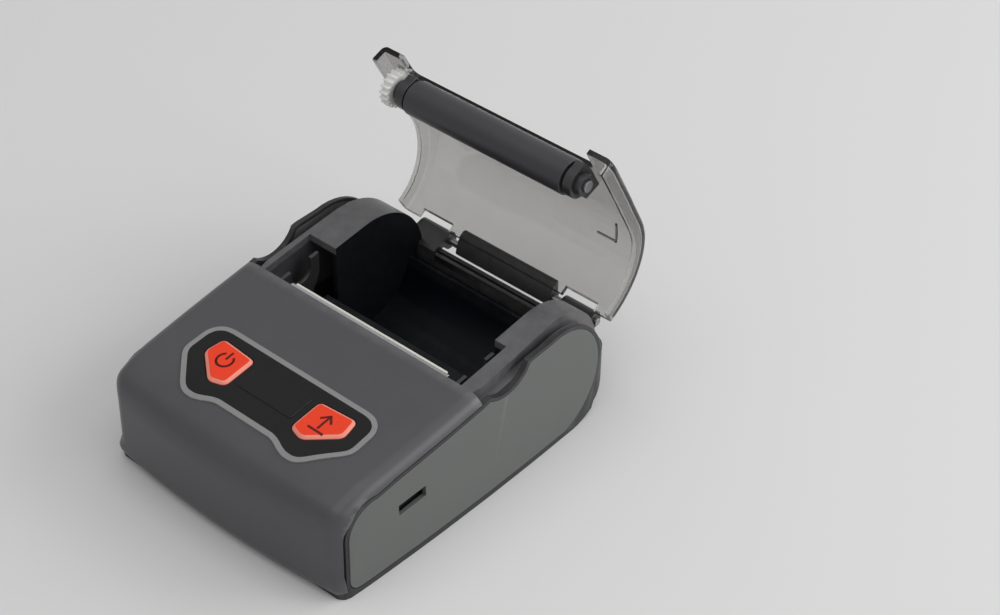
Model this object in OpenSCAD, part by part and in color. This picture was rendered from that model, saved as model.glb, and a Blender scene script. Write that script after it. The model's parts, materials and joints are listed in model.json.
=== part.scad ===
// Portable 58 mm thermal receipt printer, lid open.
// X runs across the width, +Y to the hinge at the rear, +Z up.
// Origin: middle of the flat underside of the casing.
// The printer is drawn on a pattern 78 wide and sized() brings it to body_w, in millimetres.

/* [Size] */
// Width across the two side panels, in millimetres
body_w = 88; // [84:0.5:92]
// Clear width of the paper well for 57.5 mm rolls, in millimetres
paper_well = 58.6; // [58.2:0.1:59]

/* [Casing] */
// Distance from the origin to the cover's rear edge
cover_rear = 3; // [2.5:0.1:3.5]
// Height of the cover's rear edge
cover_h = 33; // [32.5:0.1:33.5]
// Slope of the top, rising towards the rear
top_slope = 6.7; // [6:0.1:7.5]
// Casing wall
wall = 2; // [1.8:0.1:2.2]
// Rounding along the top side edges
side_round = 4.4; // [3.5:0.1:5]
// Radius of the rounded tail of the casing
tail_r = 16.5; // [16:0.1:17]

/* [Lid] */
// How far the lid stands open at rest, in degrees
lid_open = 68; // [0:1:90]
// Outer radius of the lid's curved back
lid_r = 20.5; // [20:0.1:21]
// Lid wall
lid_wall = 1.4; // [1.2:0.1:1.6]
// Depth of the lid's side skirts
skirt = 4.4; // [3.5:0.1:5]
// Hinge axis, distance behind the origin
hinge_y = 50.2; // [50:0.1:50.6]
// Hinge axis, height
hinge_z = 17.9; // [17.7:0.1:18.2]

/* [Paper] */
// Radius of the paper well's cradle
well_r = 15; // [14:0.1:15.3]

/* [Platen] */
// Diameter of the rubber
platen_d = 9; // [8.6:0.1:9.2]
// Length of the rubber
platen_len = 49.6; // [48:0.2:50]
// Platen axis behind the origin, lid closed
platen_y = 6; // [5.8:0.1:6.4]
// Platen axis height, lid closed
platen_z = 28.6; // [28.4:0.1:28.7]

/* [Gears] */
// Tooth module of the drive train
gear_m = 0.5; // [0.5:0.05:0.5]
// Teeth on the motor pinion
pinion_teeth = 10; // [10:1:10]
// Teeth on the idler
idler_teeth = 30; // [30:1:30]
// Teeth on the drive gear
drive_teeth = 24; // [24:1:24]
// Teeth on the platen gear
platen_teeth = 18; // [18:1:18]

/* [Hidden] */

$fn = 48;
pattern_w = 78;
size_k = body_w / pattern_w;
half_w = pattern_w / 2;
well_w = paper_well / size_k;
well_shift = 1.45;
uphill = [-sin(top_slope), cos(top_slope)];
rear_edge = [-cover_rear, cover_h];

// Nose of the casing: a broad arc under the label, a tight arc over the front, a small one below
brow_r = 30;
nose_r = 9;
chin_r = 4;
brow_end = 115;
brow_start = [-37.1, cover_h + (-37.1 + cover_rear) * tan(top_slope)];
brow_c = brow_start - brow_r * uphill;
nose_c = brow_c + (brow_r - nose_r) * [cos(brow_end), sin(brow_end)];
nose_y = nose_c[0] - nose_r;
chin_c = [nose_y + chin_r, chin_r];
seam_y = nose_y + 3.2;
front_bow_r = 285;
side_bow_r = 900;
front_corner_r = 5;
tail_corner_r = 7;
tail_c = [30.8, tail_r];
tail_y = tail_c[0] + tail_r;

// Lid arc, tangent to the sloping top
lid_line_z = cover_h + 0.2;
lid_tangent = [24.8, lid_line_z + (24.8 + cover_rear) * tan(top_slope)];
lid_c = lid_tangent - lid_r * uphill;
lid_tip = -cover_rear + 0.4;
lid_end = 48.5;
lid_end_turn = 6.8;
roller_clear = 0.35;
lid_lip_y = 4.8;
lid_half_w = 37;
ear_in = 29.2;
shoulder_gap = 2.2;
skirt_clear = 0.45;
shoulder_wall = 1.2;
panel_t = 1.6;
panel_c = [24.5, 17.3];
panel_r = 16;
recess_x = half_w - panel_t - 0.1;
rim_w = 1;
seat_gap = 0.12;
base_wall = 1.6;
base_in = 35.3;
well_c = [25.5, 18.2];
well_wall = 1.4;
well_front = 14.4;

// Outline of the label on the right half, and of one button, seen from above
label_half = [[0, -22.3], [22, -22.3], [24.4, -22.8], [26.4, -24.3], [27.4, -26.5], [27.6, -32.6],
              [27.2, -34.2], [26.2, -35.6], [20.3, -41.8], [18.9, -42.9], [17.2, -43.5],
              [14.6, -43.5], [12.6, -42.9], [10.3, -41.9], [8.6, -41.5], [0, -41.5]];
button_half = [[10.6, -26.9], [21.7, -26.1], [22.7, -31.7], [15.1, -37.9], [10.6, -36.6]];
button_c = [16, -31.6];
button_gap = 0.25;
button_top = 0.9;
label_t = 0.3;

// Drive train, in the plane of the gears
platen_at = [platen_y, platen_z];
drive_gap = 0.3;
deck_front = 3;
deck_z = 18.2;
tip = 0.42 * 2 * gear_m;
platen_pitch = platen_teeth * gear_m / 2;
drive_pitch = drive_teeth * gear_m / 2;
idler_pitch = idler_teeth * gear_m / 2;
pinion_pitch = pinion_teeth * gear_m / 2;
drive_dir = 250;
idler_dir = 202;
pinion_dir = 153;
drive_at = platen_at + (platen_pitch + drive_pitch + 2 * tip + drive_gap) * unit(drive_dir);
idler_at = drive_at + (drive_pitch + idler_pitch) * unit(idler_dir);
pinion_at = idler_at + (idler_pitch + pinion_pitch) * unit(pinion_dir);
drive_turn = mesh_turn(0, idler_teeth, drive_teeth, idler_dir + 180);
pinion_turn = mesh_turn(0, idler_teeth, pinion_teeth, pinion_dir);
gear_x = -32.4;
gear_w = 2.6;
fit_gap = 0.05;
axle_r = 1;
plate_x = 28.3;
plate_t = 1;
motor_r = 6.5;
platen_shaft_r = 1.5;
bush_r = 2.8;
bracket_x = 25.4;
bracket_t = 2.6;
bush_end = 29.6;
pin_r = 1;
head_pivot = [-0.25, 12.5];
usb_at = [-26.2, 17];
usb_tilt = 3;
cover_screws = [[-31.6, -38], [31.6, -38]];
bay_screws = [[-33.4, 33], [33.4, 33]];
screw_at = concat(cover_screws, bay_screws);
screw_r = 1;
lug_r = 2.4;
lug_top = 8;
boss_bore = 6;
door_at = [-13, -44];
door_size = [40, 36];

function unit(a) = [cos(a), sin(a)];
function arc(c, r, a0, a1, n) = [for (i = [0:n]) c + r * unit(a0 + (a1 - a0) * i / n)];
function mirrored(p) = concat(p, [for (i = [len(p) - 1:-1:0]) [-p[i][0], p[i][1]]]);
// Turn that puts gear b in mesh with gear a, which lies the other way along direction d
function mesh_turn(a0, za, zb, d) = d + 180 - za / zb * (a0 - d) - 180 / zb;

// Side profile of the cover, grown outwards by g
function nose(g) = concat(arc(brow_c, brow_r + g, 90 + top_slope, brow_end, 5),
                          arc(nose_c, nose_r + g, brow_end, 180, 8),
                          arc(chin_c, chin_r + g, 180, 270, 5));
function cover_outline(g) = concat([rear_edge + g * uphill], nose(g), [[-cover_rear, -g]]);
function cover_skin(g0, g1) = concat([rear_edge + g1 * uphill],
                                     arc(brow_c, brow_r + g1, 90 + top_slope, brow_end, 5),
                                     arc(brow_c, brow_r + g0, brow_end, 90 + top_slope, 5),
                                     [rear_edge + g0 * uphill]);
// Side profile of the lid's outside, shrunk inwards by g, from the front to the hinge end
function lid_top(y) = lid_line_z + (y + cover_rear) * tan(top_slope);
function lid_curve(g, y0, a1) = concat([[y0, lid_top(y0) - g / cos(top_slope)]],
                                       arc(lid_c, lid_r - g, 90 + top_slope, a1, 16));
function lid_band(g0, g1, y0, a1) = concat(lid_curve(g0, y0, a1), reversed(lid_curve(g1, y0, a1)));
function reversed(p) = [for (i = [len(p) - 1:-1:0]) p[i]];

// Half-width of the bowed sides
function side_x(y) = half_w - y * y / (2 * side_bow_r);

module sized() {
    scale(size_k)
        children();
}

module along_x(x0, x1) {
    translate([x0, 0, 0])
        rotate([90, 0, 90])
            linear_extrude(x1 - x0)
                children();
}

// The same on the left (s = -1) or right side, from x0 outwards to x1
module along_side(s, x0, x1) {
    along_x(s > 0 ? x0 : -x1, s > 0 ? x1 : -x0)
        children();
}

module opened() {
    translate([0, hinge_y, hinge_z])
        rotate([-lid_open, 0, 0])
            translate([0, -hinge_y, -hinge_z])
                children();
}

// Seen from above: bowed sides and front, rounded corners, shrunk by g
module plan(g) {
    corner = [half_w - 1.2 - front_corner_r, nose_y + 1.7 + front_corner_r];
    polygon(mirrored(concat([for (x = [0:5:30]) [x, nose_y + x * x / (2 * front_bow_r) + g]],
                            arc(corner, front_corner_r - g, -72, 0, 6),
                            [for (y = [-40:8:40]) [side_x(y) - g, y]],
                            [[side_x(tail_y) - g, tail_y - g], [0, tail_y - g]])));
}

// Seen from the front: rounded top edges, laid along the sloping top
module end_round(g) {
    w = half_w - g;
    r = side_round - g;
    translate([0, -cover_rear, cover_h])
        rotate([90 + top_slope, 0, 0])
            linear_extrude(140, center = true)
                polygon(concat([[-w, -60]], arc([-w + r, -r - g], r, 180, 90, 6),
                               arc([w - r, -r - g], r, 90, 0, 6), [[w, -60]]));
}

module cover_solid(g) {
    intersection() {
        along_x(-half_w, half_w)
            polygon(cover_outline(-g));
        translate([0, 0, -1])
            linear_extrude(60)
                plan(g);
        end_round(g);
    }
}

// Shape of a side panel, grown by g: a round rear end, a slope to the front, and a finger scoop
module panel_shape(g) {
    low = 1.8 - g;
    difference() {
        polygon(concat(arc(panel_c, panel_r + g, -78, 100, 24),
                       [[14.5, 32.9 + g], [10.5, 32.2 + g], [-3, 29.2 + g], [-31, 26 + g]],
                       arc([-38.2, 17.5], 7.6 + g, 80, 180, 8),
                       arc([-42.8, low + 3], 3 + g, 180, 270, 4)));
        translate([5.5, 37.5])
            circle(9.5 - g);
    }
}

module button_shape(s, g) {
    k = 1 + g / 6;
    translate([s * button_c[0], button_c[1]])
        scale([s * k, k])
            translate(-button_c)
                polygon(button_half);
}

module front_cover() {
    color([0.24, 0.24, 0.26])
        difference() {
            union() {
                difference() {
                    cover_solid(0);
                    cover_solid(wall);
                }
                intersection() {
                    cover_solid(wall / 2);
                    for (p = cover_screws)
                        screw_boss(p, lug_r - 0.3, 40);
                }
            }
            translate([-60, seam_y, -5])
                cube([120, 80, 7.2]);
            for (s = [-1, 1]) {
                along_side(s, half_w - wall - 0.9, half_w + 1)
                    panel_shape(rim_w + seat_gap);
                translate([0, 0, 15])
                    linear_extrude(30)
                        button_shape(s, button_gap);
            }
        }
}

// Boss that stands on a lug of the base and takes its screw
module screw_boss(p, r, h) {
    translate([p[0], p[1], lug_top + 0.1])
        difference() {
            cylinder(h = h, r = r);
            translate([0, 0, -1])
                cylinder(h = boss_bore + 1, r = screw_r);
        }
}

module base_shell() {
    color([0.15, 0.15, 0.16])
        difference() {
            union() {
                difference() {
                    base_block(0);
                    base_block(base_wall);
                }
                for (p = screw_at)
                    translate([p[0], p[1], 0.5])
                        cylinder(h = lug_top - 0.5, r = lug_r);
                for (s = [-1, 1])
                    panel_rim(s);
            }
            for (p = screw_at) {
                translate([p[0], p[1], -1])
                    cylinder(h = 12, r = screw_r);
                translate([p[0], p[1], -1])
                    cylinder(h = 2.4, r = 2);
            }
            for (s = [-1, 1])
                along_side(s, recess_x, half_w + 1)
                    panel_shape(seat_gap);
            translate([door_at[0] - 0.15, door_at[1] - 0.15, -1])
                cube([door_size[0] + 0.3, door_size[1] + 0.3, 4]);
            translate([half_w - 6, usb_at[0], usb_at[1]])
                rotate([usb_tilt, 0, 0])
                    cube([12, 9, 3.6], center = true);
        }
}

// Tray of the casing, open at the top, shrunk by g: inside the cover at the front, full width behind it
module base_block(g) {
    w = g > 0 ? base_in : half_w;
    front = seam_y + 0.1 + g;
    up = 40 * sign(g);
    intersection() {
        along_x(-w, w)
            polygon(concat([[front, g]], arc(tail_c, tail_r - g, 270, 360, 12),
                           [[tail_y - g, 17 + 2 * g], [tail_y - 3.2 - g, 17.6 + 2 * g], [40, 17.6 + up],
                            [26, 20 + up], [-10, 20 + up], [-36, 18 + up], [front, 14 + up]]));
        union() {
            translate([0, 0, -1])
                linear_extrude(80)
                    intersection() {
                        plan(0.1);
                        tail_corners(g);
                        translate([-w, -cover_rear + 0.15])
                            square([2 * w, 80]);
                    }
            translate([0, 0, -1])
                linear_extrude(80)
                    intersection() {
                        plan(wall + 0.1 + g);
                        translate([-w, nose_y])
                            square([2 * w, -nose_y]);
                    }
            if (g == 0)
                translate([0, 0, -1])
                    linear_extrude(3)
                        plan(0.1);
        }
    }
}

// Raised edge that runs round a side panel
module panel_rim(s) {
    intersection() {
        along_side(s, recess_x, half_w)
            difference() {
                panel_shape(rim_w);
                panel_shape(seat_gap);
            }
        translate([0, 0, -1])
            linear_extrude(80)
                plan(0.1);
    }
}

// Seen from above: everything ahead of the rounded corners of the tail
module tail_corners(g) {
    x = half_w - 1.6 - tail_corner_r;
    y = tail_y - tail_corner_r;
    polygon(mirrored(concat([[0, -100], [half_w + 1, -100], [half_w + 1, y - 6]],
                            arc([x, y], tail_corner_r - g, 0, 90, 8), [[0, tail_y - g]])));
}

module side_panel(s) {
    color([0.40, 0.41, 0.40])
        difference() {
            intersection() {
                along_side(s, half_w - panel_t, half_w)
                    panel_shape(0);
                translate([0, 0, -1])
                    linear_extrude(80)
                        plan(0);
            }
            if (s > 0)
                translate([half_w, usb_at[0], usb_at[1]])
                    rotate([usb_tilt, 0, 0])
                        cube([8, 8.6, 3.1], center = true);
        }
}

module side_panel_left() {
    side_panel(-1);
}

module side_panel_right() {
    side_panel(1);
}

// Shoulders each side of the well, the well's walls and its curved floor
module paper_bay() {
    color([0.10, 0.10, 0.11])
        difference() {
            union() {
                for (s = [-1, 1]) {
                    intersection() {
                        along_side(s, well_side(s), half_w)
                            polygon(lid_band(shoulder_gap, shoulder_gap + wall, -cover_rear + 0.2, 8));
                        seen_above(lid_wall + skirt_clear);
                    }
                    along_side(s, well_side(s), well_side(s) + well_wall)
                        bay_side(well_front, well_c[1] - well_r - well_wall);
                    intersection() {
                        along_side(s, well_side(s), half_w)
                            bay_side(-cover_rear + 0.2, 16);
                        difference() {
                            seen_above(lid_wall + skirt_clear);
                            seen_above(lid_wall + skirt_clear + shoulder_wall);
                        }
                    }
                }
                for (p = bay_screws)
                    screw_boss(p, 1.9, 21);
                along_x(-well_side(-1) - 0.5, well_side(1) + 0.5)
                    polygon(concat([[deck_front, deck_z + 1.2], well_c + well_r * unit(170)],
                                   arc(well_c, well_r, 172, 350, 26),
                                   arc(well_c, well_r + well_wall, 350, 172, 26), [[deck_front, deck_z]]));
            }
            for (s = [-1, 1])
                along_side(s, 24.4, s > 0 ? 31 : 33.4)
                    translate([-cover_rear - 1, 19])
                        square([cover_rear + 1 + well_front - 0.1, 22]);
        }
}

// Column over the lid's plan, narrower by g each side
module seen_above(g) {
    translate([0, 0, -5])
        linear_extrude(60)
            lid_plan(g);
}

// Distance from the middle to a side of the well, which stands off centre to leave room for the gears
function well_side(s) = well_w / 2 + s * well_shift;

// Side wall of the bay from y0 back and down to height low
module bay_side(y0, low) {
    intersection() {
        polygon(concat([lid_curve(shoulder_gap + 1, -cover_rear + 0.2, 8)[0]],
                       arc(lid_c, lid_r - shoulder_gap - 1, 96.7, 8, 16),
                       arc(well_c, well_r + well_wall, -20, -90, 8),
                       [[8, 1.6], [4, 12], [-cover_rear + 0.2, 24]]));
        translate([y0, low])
            square([60, 60]);
    }
}

// Fixed half of the hinge: a rail on the tail's rim with a knuckle at each side of the lid's
module hinge_bracket() {
    color([0.09, 0.09, 0.10])
        difference() {
            union() {
                for (s = [-1, 1])
                    translate([s * 24, 0, 0]) {
                        along_x(-5, 5)
                            polygon([[tail_y - 3.4, 15], [tail_y - 3.4, 18], [tail_y - 0.6, 19.4],
                                     [hinge_y, hinge_z + 2.3],
                                     [hinge_y, hinge_z - 0.55], [tail_y - 2, hinge_z - 0.55],
                                     [tail_y - 2, 15]]);
                        along_x(-5, 5)
                            translate([hinge_y, hinge_z])
                                circle(2.3);
                    }
                along_x(-29, 29)
                    translate([tail_y - base_wall - 1.6, 13])
                        square([1.15, 4]);
            }
            along_x(-40, 40)
                translate([hinge_y, hinge_z])
                    circle(pin_r + fit_gap);
        }
}

module hinge_pin() {
    color([0.75, 0.75, 0.77])
        along_x(-30, 30)
            translate([hinge_y, hinge_z])
                circle(pin_r);
}

module label_overlay() {
    color([0.05, 0.05, 0.06])
        difference() {
            intersection() {
                along_x(-half_w, half_w)
                    polygon(cover_skin(0, label_t));
                translate([0, 0, 15])
                    linear_extrude(30)
                        polygon(mirrored(label_half));
            }
            for (s = [-1, 1])
                translate([0, 0, 15])
                    linear_extrude(30)
                        button_shape(s, button_gap);
        }
}

module display_window() {
    color([0.02, 0.02, 0.03])
        intersection() {
            along_x(-half_w, half_w)
                polygon(cover_skin(label_t, label_t + 0.2));
            translate([-8.8, -34.8, 15])
                cube([17.6, 7.6, 30]);
        }
}

module status_lights() {
    color([0.85, 0.86, 0.82])
        for (x = [-4, 0, 4])
            translate([x, -31, key_z(-31)])
                rotate([top_slope, 0, 0])
                    translate([-0.8, -0.6, 0])
                        cube([1.6, 1.2, 0.8]);
}

// One key: a cap on the label, a stem through the cover and a flange under it
module button(s) {
    color([0.95, 0.27, 0.10]) {
        intersection() {
            along_x(-half_w, half_w)
                polygon(cover_skin(-wall - 0.9, button_top));
            translate([0, 0, 15])
                linear_extrude(30)
                    button_shape(s, 0);
        }
        intersection() {
            along_x(-half_w, half_w)
                polygon(cover_skin(-wall - 0.9, -wall - 0.25));
            translate([0, 0, 15])
                linear_extrude(30)
                    button_shape(s, 0.8);
        }
        translate([s * button_c[0], button_c[1], cover_z(button_c[1])])
            rotate([top_slope, 0, 0])
                translate([0, 0, -4.6])
                    cylinder(h = 2, r = 1.5);
    }
}

function cover_z(y) = cover_h + (y + cover_rear) * tan(top_slope);
function key_z(y) = cover_z(y) - 6.4;

module power_button() {
    button(-1);
}

module feed_button() {
    button(1);
}

module key_board() {
    color([0.06, 0.28, 0.16])
        translate([-25, -40, key_z(-40)])
            rotate([top_slope, 0, 0])
                translate([0, 0, -1.2])
                    cube([50, 16, 1.2]);
}

module tact_switches() {
    color([0.20, 0.20, 0.22])
        for (s = [-1, 1])
            translate([s * button_c[0], button_c[1], key_z(button_c[1])])
                rotate([top_slope, 0, 0]) {
                    translate([-2.25, -2.25, 0])
                        cube([4.5, 4.5, 0.8]);
                    cylinder(h = 1.1, r = 1.1);
                }
}

module main_board() {
    color([0.06, 0.28, 0.16])
        difference() {
            translate([-9, -44, 14.2])
                cube([43, 34, 1.3]);
            translate([plate_x - 0.4, -25, 10])
                cube([20, 40, 10]);
            translate([plate_x, -50, 10])
                cube([20, 17, 10]);
        }
}

module board_chips() {
    color([0.12, 0.12, 0.13])
        for (c = [[12, -36, 9, 9, 1.2], [-2, -38, 5, 4, 1.1], [21, -41, 6, 5, 1.4], [8, -18, 6, 8, 2]])
            translate([c[0], c[1], 15.5])
                cube([c[2], c[3], c[4]]);
}

module usb_socket() {
    color([0.72, 0.72, 0.74])
        translate([0, usb_at[0], usb_at[1] + 0.15])
            rotate([usb_tilt, 0, 0])
                difference() {
                    translate([30.3, -4, -1.4])
                        cube([5.9, 8, 2.8]);
                    translate([31.1, -3.6, -1])
                        cube([6, 7.2, 2]);
                }
}

module radio_module() {
    color([0.65, 0.65, 0.66])
        translate([18, -24, 15.5])
            cube([9, 10, 1.8]);
}

module buzzer() {
    color([0.08, 0.08, 0.08])
        translate([0, -26, 15.5])
            cylinder(h = 4, r = 4.2);
}

module battery_pack() {
    color([0.20, 0.34, 0.62])
        difference() {
            translate([-12, -42.5, 2.6])
                cube([38, 33, 11.2]);
            for (x = [-12, 26], y = [-42.5, -9.5])
                translate([x, y, 0])
                    cylinder(h = 30, r = 2);
        }
}

module battery_door() {
    color([0.16, 0.16, 0.17])
        difference() {
            translate([door_at[0], door_at[1], 0])
                cube([door_size[0], door_size[1], 1.6]);
            for (i = [0:4])
                translate([-4 + 2.6 * i, -16, -0.6])
                    cube([1.2, 5, 1.2]);
        }
}

module battery_contacts() {
    color([0.83, 0.68, 0.30])
        for (x = [2, 7, 12])
            translate([x, -9.5, 3])
                cube([2.2, 0.8, 5]);
}

// Sheet-metal side plate with a notch that the platen's bush drops into
module frame_plate(s) {
    color([0.70, 0.71, 0.72])
        difference() {
            along_side(s, plate_x, plate_x + plate_t)
                difference() {
                    polygon([[-24, 9], [-24, 23], [-8, 26.5], [-2.4, 29.6], [1.6, 30.2],
                             [12.2, 31.2], [12.2, 25],
                             [10, 21], [9, 9]]);
                    translate([platen_y, platen_z])
                        circle(bush_r + 0.6);
                    translate([platen_y - bush_r - 0.6, platen_z])
                        square([2 * bush_r + 1.2, 8]);
                }
            if (s < 0)
                along_x(-40, 0)
                    translate(pinion_at)
                        circle(1.6);
        }
}

module frame_plate_left() {
    frame_plate(-1);
}

module frame_plate_right() {
    frame_plate(1);
}

module frame_tie() {
    color([0.70, 0.71, 0.72]) {
        translate([-plate_x, -8.6, 9.5])
            cube([2 * plate_x, 1, 15]);
        translate([-plate_x, -8.6, 8.5])
            cube([2 * plate_x, 8, 1]);
    }
}

// Aluminium plate that carries the heater strip, pressed at the roller by two springs
module head_bracket() {
    color([0.80, 0.81, 0.83]) {
        translate([-25.6, -0.9, head_pivot[1]])
            cube([51.2, 1.3, 17.5]);
        along_x(-25.6, 25.6)
            translate(head_pivot)
                circle(0.8);
    }
}

module thermal_head() {
    color([0.93, 0.92, 0.86]) {
        translate([-24.6, 0.4, 21])
            cube([49.2, 0.7, 9]);
    }
}

module head_springs() {
    color([0.78, 0.78, 0.80])
        for (x = [-14, 14])
            translate([x, -7.6, 22])
                rotate([-90, 0, 0])
                    difference() {
                        cylinder(h = 6.3, r = 2.2);
                        translate([0, 0, -1])
                            cylinder(h = 9, r = 1.6);
                    }
}

module head_cable() {
    color([0.78, 0.55, 0.20])
        along_x(-9, 9)
            polygon([[-1.1, 20], [-1.1, 11.2], [-3.4, 10.6], [-3.4, 10.9], [-1.3, 11.4], [-1.3, 20]]);
}

module tear_bar() {
    color([0.80, 0.81, 0.82])
        translate([0, -cover_rear + 0.7, 0])
            rotate([90, 0, 0])
                linear_extrude(0.7)
                    polygon(concat([[-27, 30], [-27, 31.4]],
                                   [for (i = [0:35]) each [[1.5 * i - 26.25, 32.2],
                                                         [1.5 * i - 25.5, 31.4]]],
                                   [[27, 30]]));
}

module motor() {
    color([0.62, 0.63, 0.65]) {
        along_x(-plate_x, -14)
            translate(pinion_at)
                circle(motor_r);
        along_x(-plate_x, -plate_x + 0.8)
            translate(pinion_at)
                square([2.4 * motor_r, 5], center = true);
    }
}

// Spur gear outline with slim straight-sided teeth
module gear_shape(teeth) {
    p = 360 / teeth;
    r = teeth * gear_m / 2;
    root = r - 1.1 * tip;
    polygon([for (i = [0:teeth - 1]) each [root * unit(p * (i - 0.30)), (r + tip) * unit(p * (i - 0.10)),
                                          (r + tip) * unit(p * (i + 0.10)), root * unit(p * (i + 0.30))]]);
}

module gear_at(at, turn, teeth, bore) {
    along_x(gear_x, gear_x + gear_w)
        translate(at)
            difference() {
                rotate(turn)
                    gear_shape(teeth);
                circle(bore);
            }
}

module motor_pinion() {
    color([0.85, 0.70, 0.35]) {
        along_x(gear_x, gear_x + gear_w)
            translate(pinion_at)
                rotate(pinion_turn)
                    gear_shape(pinion_teeth);
        along_x(gear_x - 0.3, -plate_x - 0.1)
            translate(pinion_at)
                circle(0.6);
    }
}

module idler_gear() {
    color([0.92, 0.92, 0.90])
        gear_at(idler_at, 0, idler_teeth, axle_r + fit_gap);
}

module drive_gear() {
    color([0.92, 0.92, 0.90])
        gear_at(drive_at, drive_turn, drive_teeth, axle_r + fit_gap);
}

module gear_axles() {
    color([0.78, 0.78, 0.80])
        for (p = [idler_at, drive_at])
            along_x(gear_x - 0.6, -plate_x - plate_t)
                translate(p)
                    circle(axle_r);
}

module paper_sensor() {
    color([0.08, 0.08, 0.09])
        translate([8, 4, deck_z + 2.1])
            cube([5, 3.2, 1.6]);
}

module case_screws() {
    color([0.35, 0.35, 0.36])
        for (p = screw_at)
            translate([p[0], p[1], 0.3]) {
                difference() {
                    cylinder(h = 1.1, r = 1.9);
                    translate([0, 0, -1])
                        cylinder(h = 1.6, r = 0.8, $fn = 6);
                }
                cylinder(h = 12, r = screw_r);
            }
}

module frame_screws() {
    color([0.60, 0.60, 0.62])
        for (p = [[-22, 12], [8, 12]], s = [-1, 1])
            along_side(s, plate_x + plate_t, plate_x + 1.2 + plate_t)
                translate(p)
                    circle(1.3);
}

// Everything below rides on the lid and is drawn closed, then opened
module lid_shell() {
    w = lid_half_w;
    color([0.45, 0.45, 0.46, 0.5])
        opened()
            difference() {
                union() {
                    intersection() {
                        difference() {
                            along_x(-w, w)
                                polygon(lid_band(0, skirt, lid_tip, lid_end_turn));
                            intersection() {
                                along_x(-w, w)
                                    polygon(lid_band(lid_wall, skirt + 1, lid_tip - 1, 2));
                                seen_above(lid_wall);
                            }
                        }
                        seen_above(0);
                    }
                    along_x(-15.6, 15.6)
                        polygon([[47.4, 17.9], [46.6, 20.6], [47.3, 21.6], [hinge_y, hinge_z + 2.3],
                                 [hinge_y, hinge_z - 2.3], [47.4, 17.9]]);
                    along_x(-15.6, 15.6)
                        translate([hinge_y, hinge_z])
                            circle(2.3);
                }
                translate([-ear_in, -20, 20])
                    cube([2 * ear_in, 20 + lid_lip_y, 30]);
                along_x(-platen_len / 2 - 0.4, platen_len / 2 + 0.4)
                    translate(platen_at)
                        circle(platen_d / 2 + roller_clear);
                along_x(gear_x - 0.4, gear_x + gear_w + 0.4)
                    translate(platen_at)
                        circle(platen_pitch + tip + roller_clear);
                for (s = [-1, 1])
                    translate([s * 24 - 5.4, 40, 10])
                        cube([10.8, 12, 11.6]);
                along_x(-40, 40)
                    translate([hinge_y, hinge_z])
                        circle(pin_r + fit_gap);
            }
}

// Lid seen from above, narrower by g each side: full width at the ears, less at the hinge
module lid_plan(g) {
    w = lid_half_w - g;
    polygon(mirrored([[0, lid_tip - g], [w - 3, lid_tip - g], [w - 1, lid_tip + 0.9 - g], [w, lid_tip + 3.4],
                      [w - 0.2, 12], [w - 0.9, 30], [w - 2.4, lid_end + g], [0, lid_end + g]]));
}

module lid_lip() {
    color([0.40, 0.40, 0.42, 0.6])
        opened()
            along_x(-bracket_x, bracket_x)
                polygon([[11.6, lid_under(11.6)], [12.6, lid_under(12.6)], [12.6, lid_under(12.6) - 2.2],
                         [11.6, lid_under(11.6) - 2.2]]);
}

function lid_under(y) = lid_top(y) - lid_wall / cos(top_slope);

module platen_bracket(s) {
    color([0.07, 0.07, 0.08])
        opened()
            along_side(s, bracket_x, bracket_x + bracket_t)
                difference() {
                    polygon(concat([[12.4, lid_under(12.4)], [4.9, lid_under(4.9)], [1.9, 31.6]],
                                   arc(platen_at, 4.1, 165, 350, 14), [[12.4, 28.6]]));
                    translate(platen_at)
                        circle(bush_r);
                }
}

module platen_bracket_left() {
    platen_bracket(-1);
}

module platen_bracket_right() {
    platen_bracket(1);
}

module platen_bushes() {
    color([0.80, 0.66, 0.35])
        opened()
            for (s = [-1, 1])
                along_side(s, bracket_x, bush_end)
                    translate(platen_at)
                        difference() {
                            circle(bush_r);
                            circle(platen_shaft_r + fit_gap);
                        }
}

module platen_shaft() {
    color([0.75, 0.76, 0.78])
        opened()
            along_x(-33.4, 30.4)
                translate(platen_at)
                    circle(platen_shaft_r);
}

module platen_rubber() {
    color([0.13, 0.13, 0.15])
        opened()
            along_x(-platen_len / 2, platen_len / 2)
                translate(platen_at)
                    difference() {
                        circle(platen_d / 2, $fn = 64);
                        circle(platen_shaft_r);
                    }
}

module platen_gear() {
    color([0.93, 0.93, 0.91])
        opened()
            gear_at(platen_at, 0, platen_teeth, platen_shaft_r);
}

sized() front_cover();
sized() base_shell();
sized() side_panel_left();
sized() side_panel_right();
sized() paper_bay();
sized() hinge_bracket();
sized() hinge_pin();
sized() label_overlay();
sized() display_window();
sized() status_lights();
sized() power_button();
sized() feed_button();
sized() key_board();
sized() tact_switches();
sized() main_board();
sized() board_chips();
sized() usb_socket();
sized() radio_module();
sized() buzzer();
sized() battery_pack();
sized() battery_door();
sized() battery_contacts();
sized() frame_plate_left();
sized() frame_plate_right();
sized() frame_tie();
sized() head_bracket();
sized() thermal_head();
sized() head_springs();
sized() head_cable();
sized() tear_bar();
sized() motor();
sized() motor_pinion();
sized() idler_gear();
sized() drive_gear();
sized() gear_axles();
sized() paper_sensor();
sized() case_screws();
sized() frame_screws();
sized() lid_shell();
sized() lid_lip();
sized() platen_bracket_left();
sized() platen_bracket_right();
sized() platen_bushes();
sized() platen_shaft();
sized() platen_rubber();
sized() platen_gear();
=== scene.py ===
import bpy
import bmesh
import json
import math
from mathutils import Matrix, Vector

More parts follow.
